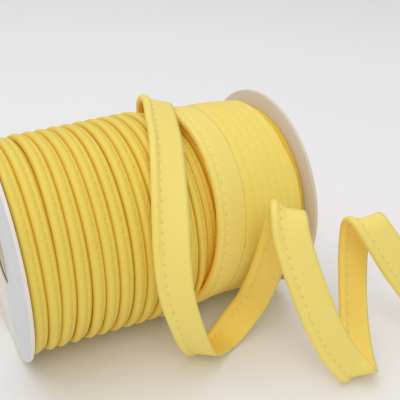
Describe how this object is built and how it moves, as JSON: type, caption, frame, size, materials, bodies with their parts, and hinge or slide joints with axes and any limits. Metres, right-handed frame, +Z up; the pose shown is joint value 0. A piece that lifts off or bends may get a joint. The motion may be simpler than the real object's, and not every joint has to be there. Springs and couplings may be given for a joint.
{
  "type": "roll of piping trim",
  "caption": "Card spool wound with cotton piping trim, a round cord bead along a flat tape, its loose end looping over the front and along the floor.",
  "frame": {"origin": "the middle of the whole object's footprint, on the floor", "axes": "+X along the spool, from the white flange to the kraft one; -Y is the front, where the loose end hangs; +Z is up"},
  "size_m": [0.166, 0.1228, 0.0843],
  "materials": {
    "yellow_cotton": "matt woven cotton, pastel yellow, with a fine diagonal weave and a yellow stitch line",
    "white_card": "white-faced card, matt and bare",
    "kraft_card": "beige kraft card, matt"
  },
  "bodies": {
    "root": {"flange_left": "white_card", "flange_right": "kraft_card", "core": "kraft_card", "winding": "yellow_cotton", "tail": "yellow_cotton"}
  },
  "joints": []
}
